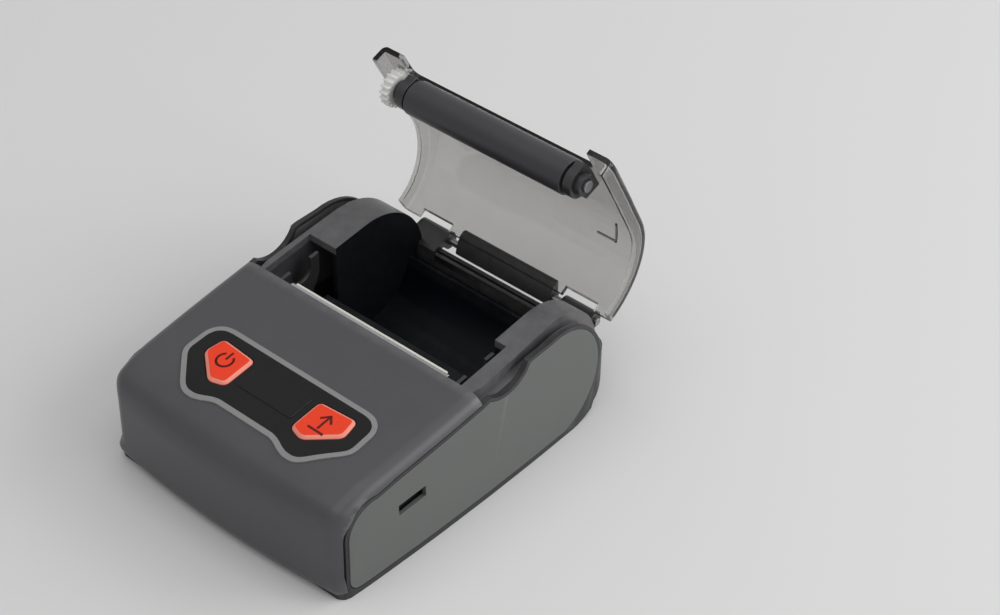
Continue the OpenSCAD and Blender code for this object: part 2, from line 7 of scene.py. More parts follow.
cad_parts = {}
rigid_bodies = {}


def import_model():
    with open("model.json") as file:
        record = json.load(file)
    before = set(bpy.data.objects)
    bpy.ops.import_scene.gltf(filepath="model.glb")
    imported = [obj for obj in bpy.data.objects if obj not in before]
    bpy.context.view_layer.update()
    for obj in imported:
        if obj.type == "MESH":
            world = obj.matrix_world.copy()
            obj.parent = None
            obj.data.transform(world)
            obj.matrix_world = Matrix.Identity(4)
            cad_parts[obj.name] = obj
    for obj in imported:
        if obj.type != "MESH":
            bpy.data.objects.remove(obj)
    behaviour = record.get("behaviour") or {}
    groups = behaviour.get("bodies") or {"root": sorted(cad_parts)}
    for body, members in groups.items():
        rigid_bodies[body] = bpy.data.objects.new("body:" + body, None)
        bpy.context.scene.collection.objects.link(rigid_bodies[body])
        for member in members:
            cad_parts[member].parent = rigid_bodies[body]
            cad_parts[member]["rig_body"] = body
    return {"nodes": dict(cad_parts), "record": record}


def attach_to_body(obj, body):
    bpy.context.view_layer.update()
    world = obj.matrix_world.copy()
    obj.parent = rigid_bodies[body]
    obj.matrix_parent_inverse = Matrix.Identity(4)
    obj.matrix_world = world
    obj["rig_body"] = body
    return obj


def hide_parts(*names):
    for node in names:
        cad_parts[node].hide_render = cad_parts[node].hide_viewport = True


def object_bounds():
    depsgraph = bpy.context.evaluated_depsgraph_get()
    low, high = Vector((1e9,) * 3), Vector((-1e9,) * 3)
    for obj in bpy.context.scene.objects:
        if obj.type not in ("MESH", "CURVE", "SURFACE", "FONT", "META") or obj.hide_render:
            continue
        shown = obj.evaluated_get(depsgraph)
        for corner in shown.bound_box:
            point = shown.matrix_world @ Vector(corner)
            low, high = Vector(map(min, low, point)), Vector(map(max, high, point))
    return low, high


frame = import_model()
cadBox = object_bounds()
nodes = frame["nodes"]
record = frame["record"]

# the printer is drawn on a pattern 78 wide; mm is one step of it in metres
patternWidth = 78
halfWidth = patternWidth / 2
mm = cadBox[1].x / halfWidth
slopeDegrees = 6.7
slope = math.radians(slopeDegrees)
uphillTurn = 90 + slopeDegrees
coverRear = -3.0
coverHeight = 33.0
sideBow = 1800
uphill = Vector((-math.sin(slope), math.cos(slope)))


def unit(degrees):
    return Vector((math.cos(math.radians(degrees)), math.sin(math.radians(degrees))))


# side profile of the nose: a broad brow, a tight nose and a small chin
profile = {"browRadius": 30.0, "browEnd": 115.0, "browStart": -37.1, "noseRadius": 9.0, "chinRadius": 4.0}


def slopeHeight(y):
    return coverHeight + (y - coverRear) * math.tan(slope)


browCentre = Vector((profile["browStart"], slopeHeight(profile["browStart"]))) - profile["browRadius"] * uphill
noseCentre = browCentre + (profile["browRadius"] - profile["noseRadius"]) * unit(profile["browEnd"])
noseFront = noseCentre.x - profile["noseRadius"]
chinCentre = Vector((noseFront + profile["chinRadius"], profile["chinRadius"]))


def coverTop(y):
    if y >= profile["browStart"]:
        return slopeHeight(y)
    return browCentre.y + math.sqrt(profile["browRadius"] ** 2 - (y - browCentre.x) ** 2)


def sideX(y):
    return halfWidth - y * y / sideBow


# mesh from points in pattern steps
def newPiece(name, verts, faces, material=None):
    mesh = bpy.data.meshes.new(name)
    mesh.from_pydata([Vector(v) * mm for v in verts], [], faces)
    mesh.validate()
    piece = bpy.data.objects.new(name, mesh)
    bpy.context.scene.collection.objects.link(piece)
    if material:
        mesh.materials.append(material)
    return piece


# puts the modifiers' result in the mesh
def applied(piece):
    graph = bpy.context.evaluated_depsgraph_get()
    mesh = bpy.data.meshes.new_from_object(piece.evaluated_get(graph))
    piece.modifiers.clear()
    piece.data = mesh


# turns all faces outwards, after merging points closer than the given distance
def outward(piece, merge=0.002):
    work = bmesh.new()
    work.from_mesh(piece.data)
    if merge:
        bmesh.ops.remove_doubles(work, verts=work.verts, dist=merge * mm)
    bmesh.ops.recalc_face_normals(work, faces=work.faces)
    work.to_mesh(piece.data)
    work.free()
    return piece


def smooth(piece, angle=34):
    piece.data.shade_smooth()
    piece.data.set_sharp_from_angle(angle=math.radians(angle))
    return piece


def cut(piece, cutter, operation="DIFFERENCE"):
    change = piece.modifiers.new("cut", "BOOLEAN")
    change.operation = operation
    change.solver = "EXACT"
    change.object = cutter
    applied(piece)
    bpy.data.objects.remove(cutter)


def softEdges(piece, width, segments, angle):
    edge = piece.modifiers.new("edge", "BEVEL")
    edge.width = width * mm
    edge.segments = segments
    edge.limit_method = "ANGLE"
    edge.angle_limit = math.radians(angle)
    edge.use_clamp_overlap = True
    edge.miter_outer = "MITER_ARC"
    applied(piece)


# keeps broad faces flat in shading beside their soft edges
def weighted(piece):
    even = piece.modifiers.new("even", "WEIGHTED_NORMAL")
    even.keep_sharp = True
    applied(piece)


# closed sheet between two grids of points of the same size
def slab(name, outer, inner, material):
    rows, columns = len(outer), len(outer[0])
    verts = [p for row in outer for p in row] + [p for row in inner for p in row]
    count = rows * columns
    faces = []
    for i in range(rows - 1):
        for j in range(columns - 1):
            a = i * columns + j
            quad = [a, a + 1, a + columns + 1, a + columns]
            faces.append(quad)
            faces.append([k + count for k in reversed(quad)])
    rim = [j for j in range(columns)] + [i * columns + columns - 1 for i in range(1, rows)]
    rim += [(rows - 1) * columns + j for j in range(columns - 2, -1, -1)]
    rim += [i * columns for i in range(rows - 2, 0, -1)]
    for a, b in zip(rim, rim[1:] + rim[:1]):
        faces.append([b, a, a + count, b + count])
    return outward(newPiece(name, verts, faces, material))


# solid between rings of points, closed at both ends
def rings(name, loops, material=None):
    size = len(loops[0])
    verts = [p for loop in loops for p in loop]
    faces = [list(range(size - 1, -1, -1))]
    for i in range(len(loops) - 1):
        for j in range(size):
            k = (j + 1) % size
            faces.append([i * size + j, i * size + k, (i + 1) * size + k, (i + 1) * size + j])
    last = (len(loops) - 1) * size
    faces.append([last + j for j in range(size)])
    return outward(newPiece(name, verts, faces, material))


def alongX(outline, x0, x1):
    return [[(x, p[0], p[1]) for p in outline] for x in (x0, x1)]


def alongZ(outline, z0, z1):
    return [[(p[0], p[1], z) for p in outline] for z in (z0, z1)]


def boxOutline(low, high):
    return [(low[0], low[1]), (high[0], low[1]), (high[0], high[1]), (low[0], high[1])]


def arcPoints(centre, radius, start, end, steps):
    return [Vector(centre) + radius * unit(start + (end - start) * i / steps) for i in range(steps + 1)]


def circleOutline(centre, radius, steps):
    return arcPoints(centre, radius, 0, 360 - 360 / steps, steps - 1)


def roundedCorners(points, radius, steps):
    out = []
    for i, p in enumerate(points):
        p = Vector(p)
        before, after = Vector(points[i - 1]), Vector(points[(i + 1) % len(points)])
        reach = min(radius, (before - p).length * 0.45, (after - p).length * 0.45)
        a = p + (before - p).normalized() * reach
        b = p + (after - p).normalized() * reach
        for k in range(steps + 1):
            t = k / steps
            out.append(a * (1 - t) ** 2 + p * 2 * t * (1 - t) + b * t * t)
    return out


def inset(points, distance):
    out = []
    area = sum(points[i - 1][0] * p[1] - p[0] * points[i - 1][1] for i, p in enumerate(points))
    side = 1 if area > 0 else -1
    for i, p in enumerate(points):
        before, after = Vector(points[i - 1]), Vector(points[(i + 1) % len(points)])
        along = (after - before).normalized()
        out.append(Vector(p) + side * distance * Vector((-along.y, along.x)))
    return out


def toward(points, centre, amount):
    return [Vector(p).lerp(Vector(centre), amount) for p in points]


flatAngle = math.radians(0.6)


# copy of a CAD node with its flats merged and its edges softened; it stands for the node
def refined(node, material, width, segments):
    piece = bpy.data.objects.new(node + "_finish", nodes[node].data.copy())
    piece.data.materials.clear()
    piece.data.materials.append(material)
    bpy.context.scene.collection.objects.link(piece)
    outward(piece)
    flats = piece.modifiers.new("flats", "DECIMATE")
    flats.decimate_type = "DISSOLVE"
    flats.angle_limit = flatAngle
    applied(piece)
    softEdges(piece, width, segments, 30)
    smooth(piece)
    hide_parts(node)
    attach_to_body(piece, nodes[node]["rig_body"])
    return piece


# each shader group is built once and placed in many materials
def newGroup(name, inputs, outputs):
    group = bpy.data.node_groups.new(name, "ShaderNodeTree")
    for label, kind, value in inputs:
        socket = group.interface.new_socket(name=label, in_out="INPUT", socket_type=kind)
        socket.default_value = value
    for label, kind in outputs:
        group.interface.new_socket(name=label, in_out="OUTPUT", socket_type=kind)
    return group, group.nodes.new("NodeGroupInput"), group.nodes.new("NodeGroupOutput")


# gives a socket a plain number or another node's output
def feed(tree, socket, value):
    if isinstance(value, (int, float)):
        socket.default_value = value
    else:
        tree.links.new(value, socket)


def mathNode(tree, operation, a, b):
    node = tree.nodes.new("ShaderNodeMath")
    node.operation = operation
    feed(tree, node.inputs[0], a)
    feed(tree, node.inputs[1], b)
    return node.outputs[0]


def noiseNode(tree, place, scale, detail, roughness=0.55):
    node = tree.nodes.new("ShaderNodeTexNoise")
    node.inputs["Detail"].default_value = detail
    node.inputs["Roughness"].default_value = roughness
    tree.links.new(place, node.inputs["Vector"])
    feed(tree, node.inputs["Scale"], scale)
    return node.outputs["Fac"]


def objectPlace(tree):
    return tree.nodes.new("ShaderNodeTexCoord").outputs["Object"]


grainLook = {"slowScale": 45.0, "fineShare": 0.6, "slowShare": 0.4, "depth": 4.0, "roughShare": 0.25}
wearLook = {"from": 0.515, "to": 0.60, "patchScale": 320.0}
dustLook = {"color": (0.5, 0.49, 0.47, 1), "patchScale": 140.0}


# fine moulded grain with slow patches: colour, roughness and height
def makeGrainGroup():
    group, into, out = newGroup("mouldedGrain", [
        ("Color", "NodeSocketColor", (0.1, 0.1, 0.1, 1)), ("Roughness", "NodeSocketFloat", 0.5),
        ("Grain Scale", "NodeSocketFloat", 2600.0), ("Mottle", "NodeSocketFloat", 0.06)],
        [("Color", "NodeSocketColor"), ("Roughness", "NodeSocketFloat"), ("Height", "NodeSocketFloat")])
    place = objectPlace(group)
    fine = noiseNode(group, place, into.outputs["Grain Scale"], 2.0)
    slow = noiseNode(group, place, grainLook["slowScale"], 3.0)
    fineShare = mathNode(group, "MULTIPLY", fine, grainLook["fineShare"])
    slowShare = mathNode(group, "MULTIPLY", slow, grainLook["slowShare"])
    centred = mathNode(group, "SUBTRACT", mathNode(group, "ADD", fineShare, slowShare), 0.5)
    depth = mathNode(group, "MULTIPLY", into.outputs["Mottle"], grainLook["depth"])
    change = mathNode(group, "ADD", mathNode(group, "MULTIPLY", centred, depth), 1.0)
    scale = group.nodes.new("ShaderNodeVectorMath")
    scale.operation = "SCALE"
    group.links.new(into.outputs["Color"], scale.inputs[0])
    group.links.new(change, scale.inputs["Scale"])
    group.links.new(scale.outputs[0], out.inputs["Color"])
    roughChange = mathNode(group, "MULTIPLY", centred, grainLook["roughShare"])
    rough = mathNode(group, "ADD", into.outputs["Roughness"], roughChange)
    group.links.new(rough, out.inputs["Roughness"])
    group.links.new(fine, out.inputs["Height"])
    return group


# paler wear where the surface turns sharply
def makeWearGroup():
    group, into, out = newGroup("edgeWear", [
        ("Color", "NodeSocketColor", (0.1, 0.1, 0.1, 1)), ("Worn Color", "NodeSocketColor", (0.3, 0.3, 0.3, 1)),
        ("Amount", "NodeSocketFloat", 0.3)],
        [("Color", "NodeSocketColor")])
    point = group.nodes.new("ShaderNodeNewGeometry").outputs["Pointiness"]
    ridge = group.nodes.new("ShaderNodeMapRange")
    ridge.inputs["From Min"].default_value = wearLook["from"]
    ridge.inputs["From Max"].default_value = wearLook["to"]
    group.links.new(point, ridge.inputs["Value"])
    patch = noiseNode(group, objectPlace(group), wearLook["patchScale"], 3.0)
    mask = mathNode(group, "MULTIPLY", mathNode(group, "MULTIPLY", ridge.outputs[0], patch), into.outputs["Amount"])
    mix = group.nodes.new("ShaderNodeMix")
    mix.data_type = "RGBA"
    group.links.new(mask, mix.inputs["Factor"])
    group.links.new(into.outputs["Color"], mix.inputs["A"])
    group.links.new(into.outputs["Worn Color"], mix.inputs["B"])
    group.links.new(mix.outputs["Result"], out.inputs["Color"])
    return group


# thin dust that settles on faces that look up
def makeDustGroup():
    group, into, out = newGroup("settledDust", [
        ("Color", "NodeSocketColor", (0.1, 0.1, 0.1, 1)), ("Amount", "NodeSocketFloat", 0.05)],
        [("Color", "NodeSocketColor")])
    split = group.nodes.new("ShaderNodeSeparateXYZ")
    group.links.new(group.nodes.new("ShaderNodeNewGeometry").outputs["Normal"], split.inputs[0])
    patch = noiseNode(group, objectPlace(group), dustLook["patchScale"], 6.0, 0.7)
    up = mathNode(group, "MAXIMUM", split.outputs["Z"], 0.0)
    mask = mathNode(group, "MULTIPLY", mathNode(group, "MULTIPLY", up, patch), into.outputs["Amount"])
    mix = group.nodes.new("ShaderNodeMix")
    mix.data_type = "RGBA"
    mix.inputs["B"].default_value = dustLook["color"]
    group.links.new(mask, mix.inputs["Factor"])
    group.links.new(into.outputs["Color"], mix.inputs["A"])
    group.links.new(mix.outputs["Result"], out.inputs["Color"])
    return group


grainGroup = makeGrainGroup()
wearGroup = makeWearGroup()
dustGroup = makeDustGroup()


def placeGroup(tree, group):
    node = tree.nodes.new("ShaderNodeGroup")
    node.node_tree = group
    return node


reliefDepth = 0.00005  # metres


def makeFinish(name, color, roughness, metallic=0.0, grain=2600.0, mottle=0.06, bump=0.12, wear=0.25,
               worn=(0.3, 0.3, 0.3), dust=0.04, coat=0.0, specular=0.5):
    material = bpy.data.materials.new(name)
    material.use_nodes = True
    tree = material.node_tree
    shader = tree.nodes["Principled BSDF"]
    shader.inputs["Metallic"].default_value = metallic
    shader.inputs["Coat Weight"].default_value = coat
    shader.inputs["Specular IOR Level"].default_value = specular
    body = placeGroup(tree, grainGroup)
    body.inputs["Color"].default_value = (*color, 1)
    body.inputs["Roughness"].default_value = roughness
    body.inputs["Grain Scale"].default_value = grain
    body.inputs["Mottle"].default_value = mottle
    edge = placeGroup(tree, wearGroup)
    edge.inputs["Worn Color"].default_value = (*worn, 1)
    edge.inputs["Amount"].default_value = wear
    film = placeGroup(tree, dustGroup)
    film.inputs["Amount"].default_value = dust
    tree.links.new(body.outputs["Color"], edge.inputs["Color"])
    tree.links.new(edge.outputs["Color"], film.inputs["Color"])
    tree.links.new(film.outputs["Color"], shader.inputs["Base Color"])
    tree.links.new(body.outputs["Roughness"], shader.inputs["Roughness"])
    relief = tree.nodes.new("ShaderNodeBump")
    relief.inputs["Strength"].default_value = bump
    relief.inputs["Distance"].default_value = reliefDepth
    tree.links.new(body.outputs["Height"], relief.inputs["Height"])
    tree.links.new(relief.outputs["Normal"], shader.inputs["Normal"])
    return material


smokeLook = {"ior": 1.45, "scuffScale": 160.0, "mottle": 0.03, "edgeBlend": 0.22}


# smoke-tinted clear plastic with faint scuffs
def makeSmoke(name, color, edgeColor, roughness):
    material = bpy.data.materials.new(name)
    material.use_nodes = True
    tree = material.node_tree
    shader = tree.nodes["Principled BSDF"]
    shader.inputs["Transmission Weight"].default_value = 1.0
    shader.inputs["IOR"].default_value = smokeLook["ior"]
    scuff = placeGroup(tree, grainGroup)
    scuff.inputs["Color"].default_value = (*color, 1)
    scuff.inputs["Roughness"].default_value = roughness
    scuff.inputs["Grain Scale"].default_value = smokeLook["scuffScale"]
    scuff.inputs["Mottle"].default_value = smokeLook["mottle"]
    facing = tree.nodes.new("ShaderNodeLayerWeight")
    facing.inputs["Blend"].default_value = smokeLook["edgeBlend"]
    depth = tree.nodes.new("ShaderNodeMix")
    depth.data_type = "RGBA"
    depth.inputs["B"].default_value = (*edgeColor, 1)
    tree.links.new(facing.outputs["Facing"], depth.inputs["Factor"])
    tree.links.new(scuff.outputs["Color"], depth.inputs["A"])
    tree.links.new(depth.outputs["Result"], shader.inputs["Base Color"])
    tree.links.new(scuff.outputs["Roughness"], shader.inputs["Roughness"])
    return material


# what each finish changes from the usual values of makeFinish
finishValues = {
    "cover_plastic": {"color": (0.068, 0.066, 0.073), "roughness": 0.34, "wear": 0.35, "dust": 0.03,
                      "bump": 0.08},
    "panel_plastic": {"color": (0.118, 0.126, 0.120), "roughness": 0.5, "grain": 2200, "bump": 0.16,
                      "dust": 0.02, "specular": 0.35},
    "bay_plastic": {"color": (0.0025, 0.0035, 0.006), "roughness": 0.42, "mottle": 0.1, "wear": 0.05,
                    "dust": 0.0, "specular": 0.14},
    "shell_plastic": {"color": (0.020, 0.019, 0.022), "roughness": 0.42, "grain": 2200, "wear": 0.25,
                      "dust": 0.02, "specular": 0.4},
    "lid_clear": {"color": (0.60, 0.59, 0.575), "edgeColor": (0.10, 0.10, 0.105), "roughness": 0.07},
    "label_film": {"color": (0.004, 0.004, 0.005), "roughness": 0.25, "grain": 900, "mottle": 0.04,
                   "bump": 0.02, "wear": 0.0, "dust": 0.01, "specular": 0.35},
    "label_edge": {"color": (0.27, 0.27, 0.27), "roughness": 0.4, "metallic": 0.1, "grain": 1200, "bump": 0.03,
                   "wear": 0.0, "dust": 0.0, "specular": 0.3},
    "window_gloss": {"color": (0.002, 0.002, 0.003), "roughness": 0.08, "grain": 500, "mottle": 0.02,
                     "bump": 0.0, "wear": 0.0, "dust": 0.0, "coat": 0.2, "specular": 0.4},
    "key_plastic": {"color": (0.92, 0.050, 0.012), "roughness": 0.42, "grain": 1500, "mottle": 0.05,
                    "bump": 0.04, "wear": 0.1, "worn": (0.95, 0.3, 0.2), "dust": 0.01, "specular": 0.3},
    "key_edge": {"color": (0.93, 0.30, 0.22), "roughness": 0.30, "grain": 1500, "bump": 0.03, "wear": 0.0,
                 "dust": 0.01, "coat": 0.15},
    "key_mark": {"color": (0.13, 0.012, 0.009), "roughness": 0.5, "grain": 900, "bump": 0.02, "wear": 0.0,
                 "dust": 0.0, "specular": 0.2},
    "light_diffuser": {"color": (0.72, 0.74, 0.70), "roughness": 0.4, "grain": 900},
    "circuit_board": {"color": (0.012, 0.085, 0.035), "roughness": 0.4, "grain": 700, "mottle": 0.15},
    "chip_black": {"color": (0.02, 0.02, 0.022), "roughness": 0.5, "grain": 1800},
    "steel": {"color": (0.36, 0.36, 0.38), "roughness": 0.34, "metallic": 1.0, "grain": 900, "mottle": 0.08,
              "wear": 0.2},
    "coated_steel": {"color": (0.03, 0.031, 0.034), "roughness": 0.4, "metallic": 0.3, "grain": 1400,
                     "mottle": 0.1},
    "nickel": {"color": (0.66, 0.65, 0.63), "roughness": 0.18, "metallic": 1.0, "grain": 700, "mottle": 0.05},
    "alloy": {"color": (0.66, 0.67, 0.69), "roughness": 0.38, "metallic": 1.0, "grain": 900, "mottle": 0.08},
    "brass": {"color": (0.68, 0.48, 0.20), "roughness": 0.3, "metallic": 1.0, "grain": 900, "mottle": 0.08},
    "gear_white": {"color": (0.84, 0.84, 0.82), "roughness": 0.38, "grain": 1200, "mottle": 0.03, "wear": 0.0,
                   "dust": 0.02},
    "bracket_black": {"color": (0.018, 0.018, 0.021), "roughness": 0.32, "grain": 1800, "wear": 0.3},
    "roller_rubber": {"color": (0.036, 0.036, 0.043), "roughness": 0.40, "grain": 1400, "mottle": 0.12,
                      "bump": 0.2, "wear": 0.1, "dust": 0.02},
    "head_ceramic": {"color": (0.82, 0.80, 0.72), "roughness": 0.25, "grain": 500, "coat": 0.5},
    "film_amber": {"color": (0.55, 0.25, 0.04), "roughness": 0.3, "grain": 500},
    "battery_wrap": {"color": (0.04, 0.10, 0.36), "roughness": 0.3, "grain": 400},
    "screw_dark": {"color": (0.10, 0.10, 0.105), "roughness": 0.35, "metallic": 0.8, "grain": 900},
}
finishes = {}
for name, values in finishValues.items():
    make = makeSmoke if "edgeColor" in values else makeFinish
    finishes[name] = make(name, **values)
print("stage: finishes made", len(finishes))

slotOf = {entry["node"]: entry["material_slot"] for entry in record["subparts"]}


def attach(piece, body, slot, *stands):
    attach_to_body(piece, body)
    if stands:
        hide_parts(*stands)


# front cover: one skin lofted along the side profile, turned over at both sides
coverSize = {"sideRound": 4.4, "frontRound": 4.8, "chinRound": 2.4, "wall": 1.8, "sideDepth": 6.5, "frontBow": 285,
             "edge": 0.2, "gap": 1.08, "seamFromNose": 3.2, "seamHeight": 2.2, "topRows": 12, "browRows": 7,
             "noseRows": 16, "frontRows": 5, "chinRows": 7, "chinTurn": 78, "sideSteps": 4, "roundSteps": 8,
             "flatSteps": 6, "foldY": -43.5, "foldLow": 5.0, "foldHigh": 20.5, "seamFrom": -5, "seamTo": 40,
             "across": 60}
panelSize = {"low": 1.8, "tail": (24.5, 17.3), "tailRadius": 16, "shoulder": ((14.5, 32.9), (13.2, 32.7)),
             "dip": (5.5, 37.5), "dipRadius": 9.5, "top": ((-3, 29.2), (-17, 27.6), (-31, 26)),
             "nose": (-38.2, 17.5), "noseRadius": 7.6, "toeY": -42.8, "toeRadius": 3, "inner": 36.1, "outer": 41}


# outline of the side panel, or of the opening that it sits in
def panelOutline(grow):
    size = panelSize
    toe = (size["toeY"], size["low"] - grow + size["toeRadius"])
    points = arcPoints(size["tail"], size["tailRadius"] + grow, -78, 90, 28)
    points += [Vector((y, z + grow)) for y, z in size["shoulder"]]
    points += arcPoints(size["dip"], size["dipRadius"] - grow, -32, -112, 14)
    points += [Vector((y, z + grow)) for y, z in size["top"]]
    points += arcPoints(size["nose"], size["noseRadius"] + grow, 80, 180, 12)
    points += arcPoints(toe, size["toeRadius"] + grow, 180, 270, 6)
    return points


# right halves of the outlines, seen from above; the left halves mirror them
labelHalf = [(22, -22.3), (24.4, -22.8), (26.4, -24.3), (27.4, -26.5), (27.6, -32.6), (27.2, -34.2), (26.2, -35.6),
             (20.3, -41.8), (18.9, -42.9), (17.2, -43.5), (14.6, -43.5), (12.6, -42.9), (10.3, -41.9), (8.6, -41.5)]
labelOutline = labelHalf + [(-x, y) for x, y in reversed(labelHalf)]
keyHalf = [(10.6, -26.9), (21.7, -26.1), (22.7, -31.7), (15.1, -37.9), (10.6, -36.6)]
keySize = {"centre": (16, -31.6), "corner": 1.5, "gap": 0.25, "top": 0.9, "shoulder": 0.25, "bevel": 0.75,
           "foot": -2.8, "edgeInset": 0.12, "edgeRise": 0.2, "crownDrop": 0.04, "crownInset": 0.25,
           "crownSteps": (0.45, 0.9), "edgeFrom": 0.12, "edgeTo": 0.85, "steep": 0.93, "cut": (15, 45)}


def keyOutline(side, grow):
    points = inset(roundedCorners(keyHalf, keySize["corner"], 5), -grow)
    return [Vector((side * p.x, p.y)) for p in points]


# points of the side profile with their normals, and how far each row follows the bowed front
def profileRows():
    size = coverSize
    browStart, browEnd = profile["browStart"], profile["browEnd"]
    rows = []
    for i in range(size["topRows"]):
        y = coverRear + (browStart - coverRear) * i / size["topRows"]
        rows.append((Vector((y, slopeHeight(y))), uphill, 0.0))
    for i in range(size["browRows"]):
        turn = uphillTurn + (browEnd - uphillTurn) * i / size["browRows"]
        rows.append((browCentre + profile["browRadius"] * unit(turn), unit(turn), 0.0))
    for i in range(size["noseRows"] + 1):
        t = i / size["noseRows"]
        turn = browEnd + (180 - browEnd) * t
        rows.append((noseCentre + profile["noseRadius"] * unit(turn), unit(turn), t * t * (3 - 2 * t)))
    for i in range(1, size["frontRows"]):
        z = noseCentre.y + (chinCentre.y - noseCentre.y) * i / size["frontRows"]
        rows.append((Vector((noseFront, z)), Vector((-1, 0)), 1.0))
    for i in range(size["chinRows"] + 1):
        turn = 180 + size["chinTurn"] * i / size["chinRows"]
        rows.append((chinCentre + profile["chinRadius"] * unit(turn), unit(turn), 1.0))
    return rows


# where the turned-over side of the cover ends, for one row of the profile
def foldPoint(point, normal, bowed):
    size = coverSize
    if bowed > 0:
        return Vector((size["foldY"], min(max(point.y, size["foldLow"]), size["foldHigh"])))
    return point - size["sideDepth"] * normal


def coverRadius(point, bowed):
    size = coverSize
    if point.y < chinCentre.y + 0.01:
        return size["chinRound"]
    return size["sideRound"] + (size["frontRound"] - size["sideRound"]) * bowed


def coverGrid(depth):
    size = coverSize
    grid = []
    for point, normal, bowed in profileRows():
        radius = coverRadius(point, bowed)
        half = sideX(point.x)
        fold = foldPoint(point, normal, bowed)
        start = point - radius * normal
        row = []
        for k in range(size["sideSteps"]):
            place = start.lerp(fold, 1 - k / size["sideSteps"])
            row.append((half - depth, place.x, place.y))
        for k in range(size["roundSteps"] + 1):
            turn = math.radians(90 - 90 * k / size["roundSteps"])
            x = half - radius + (radius - depth) * math.sin(turn)
            drop = radius - (radius - depth) * math.cos(turn)
            place = point - drop * normal
            row.append((x, place.x + bowed * x * x / (2 * size["frontBow"]), place.y))
        centre = point - depth * normal
        for k in range(1, size["flatSteps"]):
            x = (half - radius) * (1 - k / size["flatSteps"])
            row.append((x, centre.x + bowed * x * x / (2 * size["frontBow"]), centre.y))
        left = [(-p[0], p[1], p[2]) for p in reversed(row)]
        grid.append(row + [(0, centre.x, centre.y)] + left)
    return grid


def makeCover():
    size = coverSize
    cover = slab("frontCover", coverGrid(0.0), coverGrid(size["wall"]), finishes["cover_plastic"])
    for side in (-1, 1):
        reach = sorted((side * panelSize["inner"], side * panelSize["outer"]))
        cut(cover, rings("cutter", alongX(panelOutline(size["gap"]), *reach)))
        cut(cover, rings("cutter", alongZ(keyOutline(side, keySize["gap"]), *keySize["cut"])))
    seamStart = (noseFront + size["seamFromNose"], size["seamFrom"])
    bottom = boxOutline(seamStart, (size["seamTo"], size["seamHeight"]))
    cut(cover, rings("cutter", alongX(bottom, -size["across"], size["across"])))
    softEdges(cover, size["edge"], 3, 40)
    weighted(smooth(cover, 40))
    attach(cover, "casing", "cover_plastic", "front_cover")


makeCover()
print("stage: cover done")


# label, window and keys follow the sloping top of the cover
labelSize = {"thick": 0.3, "border": 1.3, "borderLift": 0.05, "corner": 1.2, "fieldInset": 0.15, "float": 0.02,
             "edge": 0.08, "windowLow": (-8.8, -34.8), "windowHigh": (8.8, -27.2), "windowCorner": 0.9,
             "windowSink": 0.05, "windowRise": 0.2, "windowEdge": 0.12}
sheetGrid = {"rear": -22, "step": 0.5, "rows": 46, "across": (-30, -15, 0, 15, 30), "cut": (10, 50)}


# thin sheet that follows the cover between two heights above it, trimmed to an outline
def sheetOnCover(name, outline, low, high, material, holes=()):
    ys = [sheetGrid["rear"] - sheetGrid["step"] * i for i in range(sheetGrid["rows"])]
    outer = [[(x, y, coverTop(y) + high) for x in sheetGrid["across"]] for y in ys]
    inner = [[(x, y, coverTop(y) + low) for x in sheetGrid["across"]] for y in ys]
    sheet = slab(name, outer, inner, material)
    cut(sheet, rings("cutter", alongZ(outline, *sheetGrid["cut"])), "INTERSECT")
    for hole in holes:
        cut(sheet, rings("cutter", alongZ(hole, *sheetGrid["cut"])))
    return sheet


def makeLabel():
    size = labelSize
    low, high = size["float"], size["thick"]
    whole = roundedCorners(labelOutline, size["corner"], 4)
    inner = inset(whole, size["border"])
    keyHoles = [keyOutline(side, keySize["gap"]) for side in (-1, 1)]
    fieldOutline = inset(whole, size["fieldInset"])
    field = sheetOnCover("labelField", fieldOutline, low, high, finishes["label_film"], keyHoles)
    border = sheetOnCover("labelBorder", whole, low, high + size["borderLift"], finishes["label_edge"], [inner])
    windowOutline = roundedCorners(boxOutline(size["windowLow"], size["windowHigh"]), size["windowCorner"], 5)
    window = sheetOnCover("displayWindow", windowOutline, high - size["windowSink"], high + size["windowRise"],
                          finishes["window_gloss"])
    for piece in (field, border):
        softEdges(piece, size["edge"], 2, 40)
        weighted(smooth(piece, 30))
    softEdges(window, size["windowEdge"], 3, 40)
    weighted(smooth(window, 30))
    attach(field, "casing", "label_film", "label_overlay")
    attach(border, "casing", "label_film")
    attach(window, "casing", "window_gloss", "display_window")


def keyRing(side, grow, height):
    return [(p.x, p.y, coverTop(p.y) + height) for p in keyOutline(side, grow)]


def makeKey(side, name, body, node):
    size = keySize
    crown = -size["bevel"] - size["crownInset"]
    loops = [keyRing(side, 0, size["foot"]), keyRing(side, 0, size["shoulder"]),
             keyRing(side, -size["edgeInset"], size["shoulder"] + size["edgeRise"]),
             keyRing(side, -size["bevel"], size["top"] - size["crownDrop"]), keyRing(side, crown, size["top"])]
    middle = (side * size["centre"][0], size["centre"][1])
    for amount in size["crownSteps"]:
        ring = toward(keyOutline(side, crown), middle, amount)
        loops.append([(p.x, p.y, coverTop(p.y) + size["top"]) for p in ring])
    key = rings(name, loops, finishes["key_plastic"])
    key.data.materials.append(finishes["key_edge"])
    for face in key.data.polygons:
        spot = face.center / mm
        height = spot.z - coverTop(spot.y)
        if size["edgeFrom"] < height < size["edgeTo"] and face.normal.z < size["steep"]:
            face.material_index = 1
    weighted(smooth(key, 25))
    attach(key, body, "key_plastic", node)


markSize = {"centre": (16.2, -31.2), "width": 0.62, "sink": 0.1, "rise": 0.03, "ring": 2.1, "ringFrom": 130,
            "ringTo": 410, "stem": (0.4, 2.7), "shaft": 2.2, "barb": (1.6, 0.5), "bar": (2.2, -3.0)}


